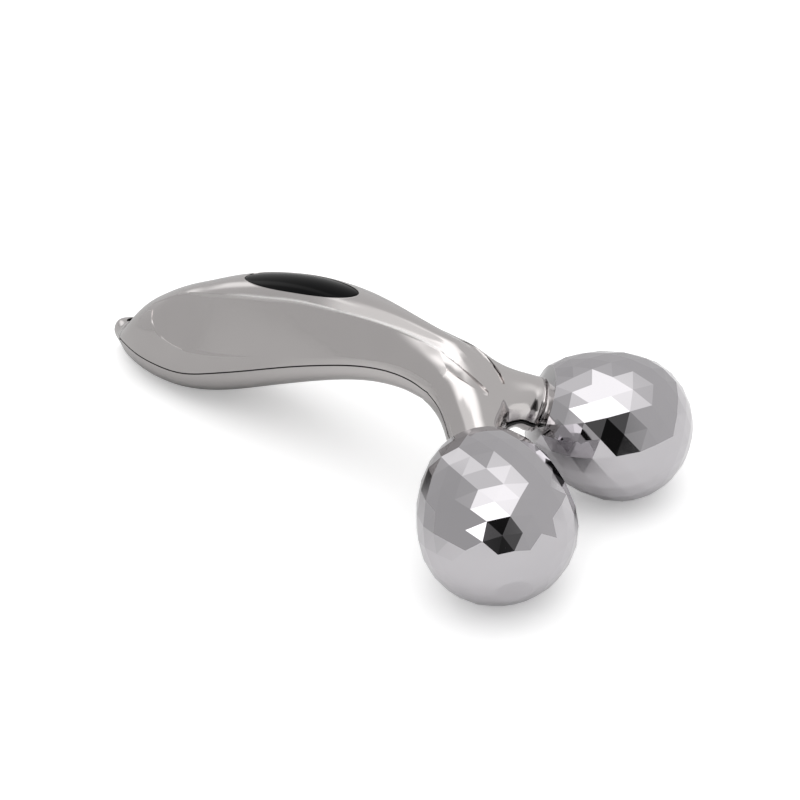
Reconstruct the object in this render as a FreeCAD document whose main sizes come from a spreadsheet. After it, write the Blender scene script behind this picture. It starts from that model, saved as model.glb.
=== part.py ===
import FreeCAD
import Part
import math
import os
import re
from FreeCAD import Placement, Rotation, Vector

doc = FreeCAD.newDocument("face_massager")

# Driving dimensions, millimetres and degrees.
dimensions = [
    # Rollers: a faceted drop on each arm of the fork.
    ("ball_radius", 25.0),
    ("ball_nose", 23.3),
    ("ball_heel", 35.5),
    ("ball_spacing", 70.0),
    ("fork_angle", 37.7),
    ("fork_droop", 26.5),
    ("mouth_radius", 14.0),
    ("table_radius", 6.2),
    ("ball_wall", 2.4),
    ("facets_round", 20),
    ("nose_rows", 6),
    ("heel_rows", 5),
    ("left_turn", 6.5),
    ("right_turn", 13.5),
    # Collar ring at the mouth of each roller.
    ("ring_rise", 1.1),
    ("ring_margin", 0.3),
    ("ring_face_radius", 9.5),
    ("spigot_radius", 11.0),
    ("spigot_depth", 4.0),
    # Bearing set inside each roller.
    ("axle_radius", 3.0),
    ("axle_grip", 19.0),
    ("axle_tip", 1.5),
    ("run_gap", 0.05),
    ("side_gap", 0.1),
    ("arm_gap", 0.5),
    ("bush_wall", 2.0),
    ("bush_length", 8.0),
    ("bush_spread", 28.0),
    ("sleeve_wall", 1.5),
    ("sleeve_tail", 4.0),
    ("socket_wall", 1.6),
    ("socket_depth", 4.0),
    ("washer_thickness", 0.6),
    ("washer_width", 1.6),
    ("clip_thickness", 0.8),
    ("clip_width", 2.0),
    ("groove_depth", 0.6),
    # Handle: two shells parted along the widest line.
    ("handle_length", 171.5),
    ("neck_length", 31.6),
    ("handle_width", 36.4),
    ("upper_depth", 32.0),
    ("lower_depth", 13.6),
    ("spine_width", 20.2),
    ("spine_crown", 3.8),
    ("panel_bulge", 0.5),
    ("arm_radius", 9.3),
    ("cover_wall", 2.2),
    ("parting_gap", 0.3),
    # Tail nub with the lanyard hole, pegged between the shells.
    ("nub_length", 12.6),
    ("nub_peg_radius", 2.4),
    ("nub_peg_length", 5.0),
    ("lanyard_radius", 1.7),
    ("lanyard_setback", 8.6),
    # Yoke that grips both axles.
    ("yoke_wall", 2.6),
    ("yoke_stub", 10.0),
    ("yoke_cover", 5.0),
    # Window over the solar cell.
    ("window_length", 53.0),
    ("window_width", 14.5),
    ("window_edge", 1.5),
    ("window_sink", 0.15),
    ("window_gap", 0.15),
    ("gasket_thickness", 0.5),
    ("ledge_width", 1.6),
    ("ledge_depth", 2.0),
    ("cell_length", 36.0),
    ("cell_width", 7.4),
    ("cell_thickness", 0.7),
    # Circuit board on two posts of the lower shell.
    ("board_length", 34.0),
    ("board_width", 15.0),
    ("board_thickness", 1.6),
    ("board_drop", 1.0),
    ("post_radius", 2.3),
    ("post_spread", 24.0),
    ("board_screw_radius", 0.9),
    ("board_screw_head", 1.8),
    ("board_screw_rise", 1.2),
    ("board_screw_depth", 4.0),
    ("chip_size", 5.0),
    ("chip_height", 1.4),
    ("capacitor_radius", 3.0),
    ("capacitor_length", 8.0),
    ("lead_radius", 0.6),
    ("lead_rise", 5.0),
    ("lead_spread", 8.0),
    # Screws that close the handle from below.
    ("screw_radius", 1.4),
    ("screw_head_radius", 2.6),
    ("screw_head_height", 1.8),
    ("screw_seat", 4.0),
    ("screw_bite", 8.0),
    ("screw_gap", 0.25),
    ("boss_radius", 3.4),
    # Reach of every cut past the face it leaves.
    ("overrun", 1.0),
]

sheet = doc.addObject("Spreadsheet::Sheet", "sizes")
for row, (alias, number) in enumerate(dimensions, start=1):
    sheet.set("A%d" % row, alias)
    sheet.set("B%d" % row, str(number))
    sheet.setAlias("B%d" % row, alias)
doc.recompute()
aliases = {alias for alias, number in dimensions}


def size(alias):
    return float(sheet.get(alias))


def formula(text):
    words = re.split(r"([a-z_]+)", text)
    return "".join("sizes." + word if word in aliases else word for word in words)


# Simple solids along their own Z axis, every size bound to the sheet.
def rod(name, radius, start, length):
    piece = doc.addObject("Part::Cylinder", name)
    piece.setExpression("Radius", formula(radius))
    piece.setExpression("Height", formula(length))
    piece.setExpression("Placement.Base.z", formula(start))
    return piece


def block(name, length, width, height, start):
    piece = doc.addObject("Part::Box", name)
    piece.setExpression("Length", formula(length))
    piece.setExpression("Width", formula(width))
    piece.setExpression("Height", formula(height))
    piece.setExpression("Placement.Base.x", formula("-(%s) / 2" % length))
    piece.setExpression("Placement.Base.y", formula("-(%s) / 2" % width))
    piece.setExpression("Placement.Base.z", formula(start))
    return piece


def oval(name, length, width, start, height):
    outline = doc.addObject("Part::Ellipse", name + "_outline")
    outline.setExpression("MajorRadius", formula("(%s) / 2" % length))
    outline.setExpression("MinorRadius", formula("(%s) / 2" % width))
    outline.setExpression("Placement.Base.z", formula(start))
    piece = doc.addObject("Part::Extrusion", name)
    piece.Base = outline
    piece.DirMode = "Custom"
    piece.Dir = Vector(0, 0, 1)
    piece.setExpression("LengthFwd", formula(height))
    piece.Solid = True
    return piece


def cut(name, base, tool):
    piece = doc.addObject("Part::Cut", name)
    piece.Base = base
    piece.Tool = tool
    return piece


def fuse(name, pieces):
    piece = doc.addObject("Part::MultiFuse", name)
    piece.Shapes = pieces
    return piece


def common(name, base, tool):
    piece = doc.addObject("Part::Common", name)
    piece.Base = base
    piece.Tool = tool
    return piece


def group(name, pieces):
    piece = doc.addObject("Part::Compound", name)
    piece.Links = pieces
    return piece


def feature(name, shape):
    piece = doc.addObject("Part::Feature", name)
    piece.Shape = shape
    return piece


def tube(name, outer, inner, start, length):
    wall = rod(name + "_wall", outer, start, length)
    bore = rod(name + "_bore", inner, "(%s) - overrun" % start, "(%s) + 2 * overrun" % length)
    return cut(name, wall, bore)


nodes = []


def node(piece, label, place=None):
    piece.Label = label
    if place is not None:
        piece.Placement = place
    nodes.append(piece)
    return piece


# Fork geometry: the two axle axes spread from one apex in a plane that droops towards the balls.
spread = math.radians(size("fork_angle"))
droop = math.radians(size("fork_droop"))
forward = Vector(math.cos(droop), 0, -math.sin(droop))
upward = Vector(math.sin(droop), 0, math.cos(droop))
sideways = Vector(0, 1, 0)
skyward = Vector(0, 0, 1)
sides = {"left": 1, "right": -1}
axes = {}
for side, sign in sides.items():
    axes[side] = forward * math.cos(spread) + sideways * (sign * math.sin(spread))


def reach(direction):
    along = axes["left"].dot(direction)
    across = math.sqrt(1 - along * along)
    return math.hypot(size("ball_nose") * along, size("ball_radius") * across)


apex_distance = size("ball_spacing") / 2 / math.sin(spread)
fork_length = apex_distance * axes["left"].x
front_reach = reach(Vector(1, 0, 0))
whole_length = size("handle_length") + fork_length + front_reach
ball_x = whole_length / 2 - front_reach
ball_z = reach(Vector(0, 0, -1))
balls = {side: Vector(ball_x, sign * size("ball_spacing") / 2, ball_z) for side, sign in sides.items()}
apex = balls["left"] - axes["left"] * apex_distance

# Places along an axle, measured outwards from the ball's centre.
mouth_at = "-ball_heel * sqrt(1 - (mouth_radius / ball_radius) ^ 2)"
ring_at = mouth_at + " - ring_rise"
arm_at = ring_at + " - arm_gap"
apex_at = "-ball_spacing / 2 / sin(fork_angle)"
grip_at = arm_at + " - axle_grip"
hub_at = arm_at + " + washer_thickness + 2 * side_gap"
outer_bush_at = hub_at + " + bush_spread"
washer_at = outer_bush_at + " + bush_length + side_gap"
clip_at = washer_at + " + washer_thickness"
tip_at = clip_at + " + clip_thickness + axle_tip"
sleeve_end_at = outer_bush_at + " + bush_length + sleeve_tail"
socket_at = sleeve_end_at + " - socket_depth"
bore_radius = "axle_radius + run_gap"
bush_radius = bore_radius + " + bush_wall"
sleeve_radius = bush_radius + " + sleeve_wall"
yoke_radius = "axle_radius + yoke_wall"
facet_depth_share = math.cos(math.pi / size("facets_round"))


def axle_place(side, turn=0.0):
    lay = Rotation(skyward, axes[side])
    return Placement(balls[side], lay.multiply(Rotation(skyward, turn)))


def on_axle(piece, side):
    holder = doc.addObject("Part::Compound", piece.Name + "_placed")
    holder.Links = [piece]
    holder.Placement = axle_place(side)
    return holder


# Handle sections, tail to neck. Each row: distance back from the neck as a share of the grip's length,
# half width, height of the parting line, height above it, depth below it, spine half width, spine crown,
# the side panel's lip as a share of the height above, and the panel's bulge.
handle_shares = [
    (1.0000, 0.070, -0.195, 0.045, 0.120, 0.05, 0.03, 0.64, 0.07),
    (0.9877, 0.190, -0.180, 0.120, 0.310, 0.14, 0.09, 0.64, 0.18),
    (0.9571, 0.320, -0.134, 0.128, 0.520, 0.23, 0.09, 0.64, 0.25),
    (0.9289, 0.460, -0.083, 0.118, 0.730, 0.34, 0.09, 0.64, 0.29),
    (0.9007, 0.604, -0.038, 0.175, 0.880, 0.44, 0.13, 0.64, 0.40),
    (0.8652, 0.736, -0.010, 0.330, 0.960, 0.54, 0.24, 0.64, 0.61),
    (0.8002, 0.895, 0.000, 0.545, 1.000, 0.66, 0.40, 0.66, 0.86),
    (0.7144, 0.978, 0.006, 0.772, 0.995, 0.66, 0.56, 0.54, 0.40),
    (0.6139, 1.000, 0.051, 0.942, 0.930, 0.55, 0.74, 0.36, 0.10),
    (0.4999, 0.989, 0.226, 1.000, 0.950, 0.85, 0.93, 0.25, 0.30),
    (0.3712, 0.956, 0.462, 0.962, 0.900, 0.99, 1.00, 0.18, 0.40),
    (0.2425, 0.896, 0.701, 0.848, 0.850, 1.00, 1.00, 0.14, 0.40),
    (0.1138, 0.813, 0.911, 0.682, 0.780, 0.91, 0.82, 0.13, 0.60),
    (0.0000, 0.731, 1.058, 0.522, 0.760, 0.70, 0.68, 0.16, 0.90),
]
# The neck's own section, in the same order, at a share of the neck's length from the apex. It leans by a
# share of the fork's droop.
neck_lean_share = 0.45
neck_shares = (0.6187, 0.681, 1.108, 0.438, 0.770, 0.52, 0.58, 0.22, 1.20)
# Places along the grip, as shares of its length back from the neck.
window_share = 0.2745
board_share = 0.3281
screw_shares = [-0.0043, 0.5604, 0.7748]
# Fork sections, from the neck into the crotch. Each row: distance past the apex as a share of the arm
# radius, half width beyond the arm axes, height, depth, spine half width and crown as shares of it, then
# the lip and the bulge as above.
fork_shares = [
    (-0.95, 1.34, 1.26, 1.26, 0.46, 0.17, 0.30, 1.90),
    (0.00, 1.44, 1.17, 1.10, 0.46, 0.09, 0.36, 2.10),
    (0.85, 1.22, 0.99, 0.97, 0.50, -0.04, 0.40, 2.20),
    (1.85, 1.00, 0.40, 0.40, 0.50, -0.30, 0.44, 1.80),
]
hollow_first = 5
hollow_last = len(handle_shares) + 2
belly_pull_share = 0.56


def bezier(points):
    curve = Part.BezierCurve()
    curve.setPoles(points)
    return curve.toShape()


# One closed section: belly, round sides up to the lip, panels up to the crease, and the spine.
def section(centre, rise, half, high, low, spine, crown, lip, bulge, inset=0.0):
    spine = spine * (half - inset) / half
    half = half - inset
    high = high - inset
    low = low - inset
    crease = high - crown
    lip_turn = math.asin(lip)
    lip_out, lip_up = half * math.cos(lip_turn), high * lip
    arc = 4 / 3 * math.tan(lip_turn / 4)

    def at(across, up):
        return centre + sideways * across + rise * up

    def belly(sign):
        side, pull = sign * half, belly_pull_share
        return [at(0, -low), at(side * pull, -low), at(side, -low * pull), at(side, 0)]

    def flank(sign):
        bend_out = half * (math.cos(lip_turn) + arc * math.sin(lip_turn))
        bend_up = high * (lip - arc * math.cos(lip_turn))
        side = sign * half
        return [at(side, 0), at(side, high * arc), at(sign * bend_out, bend_up), at(sign * lip_out, lip_up)]

    def panel(sign):
        run, climb = spine - lip_out, crease - lip_up
        push = 4 / 3 * bulge / math.hypot(run, climb)
        poles = [at(sign * lip_out, lip_up)]
        for share in (1 / 3, 2 / 3):
            out = lip_out + run * share + climb * push
            poles.append(at(sign * out, lip_up + climb * share - run * push))
        return poles + [at(sign * spine, crease)]

    spine_high = high + crown / 3
    top = [at(spine, crease), at(spine / 3, spine_high), at(-spine / 3, spine_high), at(-spine, crease)]
    edges = [belly(1), flank(1), panel(1), top, panel(-1)[::-1], flank(-1)[::-1], belly(-1)[::-1]]
    return Part.Wire([bezier(points) for points in edges])


def grip_x(share):
    return apex.x - size("neck_length") - share * (size("handle_length") - size("neck_length"))


def handle_station(x, shares, rise=skyward):
    half, part, high, low, spine, crown, lip, bulge = shares
    lift = size("lower_depth") + part * (apex.z - size("lower_depth"))
    centre = Vector(x, 0, lift)
    return (centre, rise, half * size("handle_width") / 2, high * size("upper_depth"),
            low * size("lower_depth"), spine * size("spine_width") / 2, crown * size("spine_crown"),
            lip, bulge * size("panel_bulge"))


def fork_station(shares):
    past, half, high, low, spine, crown, lip, bulge = shares
    radius = size("arm_radius")
    travel = past * radius
    opening = max(travel, 0.0) * math.tan(spread)
    return (apex + forward * travel, upward, opening + half * radius, high * radius,
            low * radius, spine * radius, crown * radius, lip, bulge * size("panel_bulge"))


stations = [handle_station(grip_x(row[0]), row[1:]) for row in handle_shares]
neck_lean = neck_lean_share * droop
neck_rise = Vector(math.sin(neck_lean), 0, math.cos(neck_lean))
neck_x = apex.x - neck_shares[0] * size("neck_length")
stations.append(handle_station(neck_x, neck_shares[1:], neck_rise))
stations += [fork_station(row) for row in fork_shares]
body = feature("handle_body", Part.makeLoft([section(*station) for station in stations], True, False))
arm_length = "(%s) - (%s)" % (arm_at, apex_at)
arms = [on_axle(rod(side + "_arm", "arm_radius", apex_at, arm_length), side) for side in sides]
arm_trims = [on_axle(rod(side + "_arm_trim", "ball_radius", arm_at, "ball_nose"), side) for side in sides]
handle_form = cut("handle_form", fuse("handle_whole", [body] + arms), group("arm_trims", arm_trims))
hollow_stations = stations[hollow_first:hollow_last]
hollow_sections = [section(*station, size("cover_wall")) for station in hollow_stations]
hollow = feature("handle_hollow", Part.makeLoft(hollow_sections, True, False))

# The parting line runs through the section centres and on along the fork.
centres = [station[0] for station in stations]
parting_line = Part.BSplineCurve()
parting_line.interpolate(centres)


def parting_height(x):
    first, last = parting_line.FirstParameter, parting_line.LastParameter
    for step in range(60):
        middle = (first + last) / 2
        if parting_line.value(middle).x < x:
            first = middle
        else:
            last = middle
    return parting_line.value(first).z


def parting_space(name, direction, gap):
    shift = skyward * (direction * gap / 2)
    start = centres[0] + shift - Vector(size("overrun"), 0, 0)
    end = apex + forward * (whole_length - size("handle_length")) + shift
    line = Part.BSplineCurve()
    line.interpolate([centre + shift for centre in centres])
    far = skyward * (direction * whole_length)
    edges = [
        Part.makeLine(start, centres[0] + shift),
        line.toShape(),
        Part.makeLine(centres[-1] + shift, end),
        Part.makeLine(end, end + far),
        Part.makeLine(end + far, start + far),
        Part.makeLine(start + far, start),
    ]
    face = Part.Face(Part.Wire(edges))
    face.translate(sideways * -size("ball_spacing"))
    return feature(name, face.extrude(sideways * (2 * size("ball_spacing"))))


above = parting_space("above_parting", 1, size("parting_gap"))
below = parting_space("below_parting", -1, size("parting_gap"))
post_above = parting_space("post_above", 1, 0.0)
post_below = parting_space("post_below", -1, 0.0)
doc.recompute()


def surface_height(x):
    probe = Part.makeLine(Vector(x, 0, -whole_length), Vector(x, 0, whole_length))
    return body.Shape.common(probe).BoundBox.ZMax


# Frames of the window and of the board, tilted with the spine and with the parting line.
def tilted_frame(x, run, height, drop):
    rear, front = height(x - run / 2), height(x + run / 2)
    tilt = Rotation(sideways, -math.degrees(math.atan2(front - rear, run)))
    return Placement(Vector(x, 0, (rear + front) / 2 - drop), tilt)


window_frame = tilted_frame(grip_x(window_share), size("window_length"), surface_height, 0.0)
board_x = grip_x(board_share)
board_frame = tilted_frame(board_x, size("board_length"), parting_height, size("board_drop"))


def placed(piece, place):
    piece.Placement = place
    return piece


# Yoke: two gripping tubes and a stub behind them, bored for the axles.
grip_length = "axle_grip - yoke_cover"
yoke_tubes = [on_axle(rod(side + "_grip", yoke_radius, grip_at, grip_length), side) for side in sides]
stub = rod("yoke_stub_rod", yoke_radius, "-yoke_stub", "yoke_stub + " + grip_length)
stub_holder = placed(group("yoke_stub_placed", [stub]), Placement(apex, Rotation(skyward, forward)))
yoke_block = fuse("yoke_block", yoke_tubes + [stub_holder])
bore_length = "axle_grip + overrun"
axle_rods = [on_axle(rod(side + "_axle_bore", "axle_radius", grip_at, bore_length), side) for side in sides]
axle_bores = group("axle_bores", axle_rods)
node(cut("axle_yoke_solid", yoke_block, axle_bores), "axle_yoke")

# Screws that close the handle, each in a boss of both shells.
screws = []
bosses = []
pilots = []
clear_holes = []
for number, share in enumerate(screw_shares, start=1):
    x = grip_x(share)
    seat = Placement(Vector(x, 0, parting_height(x)), Rotation())
    tag = "_%d" % number
    head_at = "-screw_seat - screw_head_height"
    head = rod("screw_head" + tag, "screw_head_radius", head_at, "screw_head_height")
    shank = rod("screw_shank" + tag, "screw_radius", "-screw_seat", "screw_seat + screw_bite")
    screws.append(placed(fuse("screw" + tag, [head, shank]), seat))
    post = rod("boss" + tag, "boss_radius", "-upper_depth", "2 * upper_depth")
    bosses.append(placed(group("boss_placed" + tag, [post]), seat))
    pilot = rod("pilot" + tag, "screw_radius", "-overrun", "screw_bite + overrun + side_gap")
    pilots.append(placed(group("pilot_placed" + tag, [pilot]), seat))
    sink_radius = "screw_head_radius + screw_gap"
    sink = rod("sink" + tag, sink_radius, "-upper_depth", "upper_depth - screw_seat")
    clear_radius = "screw_radius + screw_gap"
    clear = rod("clear" + tag, clear_radius, "-screw_seat - overrun", "screw_seat + 2 * overrun")
    clear_holes.append(placed(fuse("clear_hole" + tag, [sink, clear]), seat))
node(group("case_screw_set", screws), "case_screws")

# Window set, in the window's own frame: Z is up through the lens.
lens_oval = oval("lens_oval", "window_length", "window_width", "-window_edge", "upper_depth")
lens_oval.Placement = window_frame
sunk_body = feature("sunk_body", body.Shape.copy())
sunk_body.Placement = Placement(window_frame.Rotation.multVec(skyward * -size("window_sink")), Rotation())
node(common("lens", lens_oval, sunk_body), "solar_window")
gasket_at = "-window_edge - gasket_thickness"
open_length = "window_length - 2 * ledge_width"
open_width = "window_width - 2 * ledge_width"
gasket_rim = oval("gasket_rim", "window_length", "window_width", gasket_at, "gasket_thickness")
gasket_cut = "gasket_thickness + 2 * overrun"
gasket_open = oval("gasket_open", open_length, open_width, gasket_at + " - overrun", gasket_cut)
node(cut("gasket", gasket_rim, gasket_open), "window_gasket", window_frame)
cell = block("cell", "cell_length", "cell_width", "cell_thickness", "-window_edge - cell_thickness")
node(group("cell_placed", [cell]), "solar_cell", window_frame)
ledge_at = gasket_at + " - ledge_depth"
seat_length = "window_length + 2 * cover_wall"
seat_width = "window_width + 2 * cover_wall"
window_seat = oval("window_seat", seat_length, seat_width, ledge_at, "ledge_depth + window_edge")
window_seat.Placement = window_frame
recess_length = "window_length + 2 * window_gap"
recess_width = "window_width + 2 * window_gap"
recess = oval("recess", recess_length, recess_width, gasket_at, "upper_depth")
opening = oval("opening", open_length, open_width, ledge_at + " - overrun", "upper_depth")
window_cut = placed(fuse("window_cut", [recess, opening]), window_frame)

# Board set, in the board's own frame: Z is up from its top face.
post_sides = [("rear", "-post_spread / 2"), ("front", "post_spread / 2")]
board_posts = []
board_pilots = []
board_holes = []
board_screws = []
for name, place in post_sides:
    post = rod(name + "_board_post", "post_radius", "-board_thickness - lower_depth", "lower_depth")
    pilot_at = "-board_thickness - board_screw_depth"
    pilot = rod(name + "_board_pilot", "board_screw_radius", pilot_at, "board_screw_depth + overrun")
    hole = rod(name + "_board_hole", "board_screw_radius + screw_gap", "-board_thickness - overrun",
               "board_thickness + 2 * overrun")
    shank_length = "board_screw_depth + board_thickness"
    shank = rod(name + "_board_shank", "board_screw_radius", pilot_at, shank_length)
    head = rod(name + "_board_head", "board_screw_head", "0", "board_screw_rise")
    for piece in (post, pilot, hole, shank, head):
        piece.setExpression("Placement.Base.x", formula(place))
    board_posts.append(post)
    board_pilots.append(pilot)
    board_holes.append(hole)
    board_screws.append(fuse(name + "_board_screw", [shank, head]))
plate = block("plate", "board_length", "board_width", "board_thickness", "-board_thickness")
node(cut("board", plate, group("board_hole_set", board_holes)), "circuit_board", board_frame)
node(group("board_screw_set", board_screws), "board_screws", board_frame)
chip = block("chip", "chip_size", "chip_size", "chip_height", "0")
chip.setExpression("Placement.Base.x", formula("-board_length / 4 - chip_size / 2"))
chip.setExpression("Placement.Base.y", formula("board_width / 2 - lead_radius - chip_size"))
node(group("chip_placed", [chip]), "driver_chip", board_frame)
can = rod("can", "capacitor_radius", "0", "capacitor_length")
can.setExpression("Placement.Base.x", formula("-board_length / 4"))
can.setExpression("Placement.Base.y", formula("capacitor_radius + lead_radius - board_width / 2"))
node(group("can_placed", [can]), "storage_capacitor", board_frame)
post_set = placed(group("board_post_set", board_posts), board_frame)
board_pilot_set = placed(group("board_pilot_set", board_pilots), board_frame)

# Tail nub: the end of the form, with a peg that both shells clamp.
nub_x = centres[0].x + size("nub_length")
nub_place = Placement(Vector(nub_x, 0, parting_height(nub_x)), Rotation(sideways, -90))
nub_reach = "nub_length + overrun"
nub_block = rod("nub_block", "handle_width", "0", nub_reach)
nub_zone = placed(group("nub_zone", [nub_block]), nub_place)
nub_clear = rod("nub_clear", "handle_width", "-parting_gap", nub_reach + " + parting_gap")
nub_space = placed(group("nub_space", [nub_clear]), nub_place)
peg = rod("peg", "nub_peg_radius", "-nub_peg_length", "nub_peg_length + nub_length / 4")
nub_peg = placed(group("nub_peg", [peg]), nub_place)
nub_tip = common("nub_tip", handle_form, nub_zone)
lanyard = rod("lanyard", "lanyard_radius", "-upper_depth", "2 * upper_depth")
lanyard_x = centres[0].x + size("lanyard_setback")
lanyard_place = Placement(Vector(lanyard_x, 0, parting_height(lanyard_x)), Rotation())
lanyard_hole = placed(group("lanyard_hole", [lanyard]), lanyard_place)
node(cut("nub", fuse("nub_solid", [nub_tip, nub_peg]), lanyard_hole), "tail_nub")

# Upper shell: half of the form, hollowed, with bosses and the window's seat inside.
doc.recompute()
upper_half = common("upper_half", handle_form, above)
upper_shell = cut("upper_shell", upper_half, hollow)
trimmed_bosses = [common("trim_" + boss.Name, boss, handle_form) for boss in bosses]
upper_bosses = [common("upper_" + boss.Name, boss, post_above) for boss in trimmed_bosses]
seat_ring = common("seat_ring", window_seat, handle_form)
upper_solid = fuse("upper_solid", [upper_shell, seat_ring] + upper_bosses)


def cut_all(name, base, tools):
    for number, tool in enumerate(tools, start=1):
        base = cut("%s_%d" % (name, number), base, tool)
    return base


shared_cuts = [yoke_block] + axle_rods + [nub_space, nub_peg]
node(cut_all("upper_cover_cut", upper_solid, [window_cut] + pilots + shared_cuts), "upper_cover")

# Lower shell: the other half, with the screw bosses and the board's posts.
lower_half = common("lower_half", handle_form, below)
lower_shell = cut("lower_shell", lower_half, hollow)
lower_bosses = [common("lower_" + boss.Name, boss, post_below) for boss in trimmed_bosses]
trimmed_posts = common("trimmed_posts", post_set, handle_form)
lower_solid = fuse("lower_solid", [lower_shell, trimmed_posts] + lower_bosses)
node(cut_all("lower_cover_cut", lower_solid, clear_holes + [board_pilot_set] + shared_cuts), "lower_cover")


# Faceted rollers: rings of corners on a drop, joined by flat triangles.
def corner_ring(tilt, length, count, row):
    radius = size("ball_radius") * math.cos(tilt)
    height = length * math.sin(tilt)
    step = 2 * math.pi / count
    turn = row % 2 * math.pi / size("facets_round")
    angles = [turn + k * step for k in range(count)]
    return [Vector(radius * math.cos(angle), radius * math.sin(angle), height) for angle in angles]


def triangle(a, b, c):
    return Part.Face(Part.makePolygon([a, b, c, a]))


def band(ring, next_ring, row):
    count = len(ring)
    faces = []
    for k in range(count):
        this, after = ring[k], ring[(k + 1) % count]
        if len(next_ring) == count:
            up = next_ring[(k + row % 2) % count]
            ahead = next_ring[(k + row % 2 + 1) % count]
            faces += [triangle(this, after, up), triangle(after, ahead, up)]
        else:
            near = next_ring[(k + 1) // 2 % len(next_ring)]
            faces.append(triangle(this, after, near))
            if k % 2:
                faces.append(triangle(this, near, next_ring[k // 2]))
    return faces


def drop_half(length, end_radius, rows, closes):
    count = int(size("facets_round"))
    last_tilt = math.acos(end_radius / size("ball_radius"))
    rings = []
    for row in range(rows + 1):
        tilt = last_tilt * row / rows
        if closes and row == rows:
            rings.append(corner_ring(tilt, length, count // 2, row - 1))
        else:
            rings.append(corner_ring(tilt, length, count, row))
    faces = []
    for row in range(rows):
        faces += band(rings[row], rings[row + 1], row)
    for end in (rings[0], rings[-1]):
        faces.append(Part.Face(Part.makePolygon(end + end[:1])))
    shell = Part.makeShell(faces)
    shell.sewShape()
    solid = Part.makeSolid(shell)
    if solid.Volume < 0:
        solid.reverse()
    return solid


def hollow_half(length):
    inner_radius = size("ball_radius") * facet_depth_share - size("ball_wall")
    rim = Vector(inner_radius, 0, 0)
    pole = Vector(0, 0, length)
    short, long = sorted([rim, pole], key=lambda point: point.Length)
    arc = Part.ArcOfEllipse(Part.Ellipse(long, short, Vector()), 0, math.pi / 2).toShape()
    edges = Part.__sortEdges__([arc, Part.makeLine(pole, Vector()), Part.makeLine(Vector(), rim)])
    return Part.Face(Part.Wire(edges)).revolve(Vector(), skyward, 360)


nose_pole = size("ball_nose") * facet_depth_share - size("ball_wall")
heel_pole = size("ball_heel") * facet_depth_share - size("ball_wall")
nose_rows = int(size("nose_rows"))
heel_rows = int(size("heel_rows"))
nose_form = feature("nose_form", drop_half(size("ball_nose"), size("table_radius"), nose_rows, True))
nose_hollow = feature("nose_hollow", hollow_half(nose_pole))
heel_form = feature("heel_form", drop_half(-size("ball_heel"), size("mouth_radius"), heel_rows, False))
heel_hollow = feature("heel_hollow", hollow_half(-heel_pole))

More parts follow.
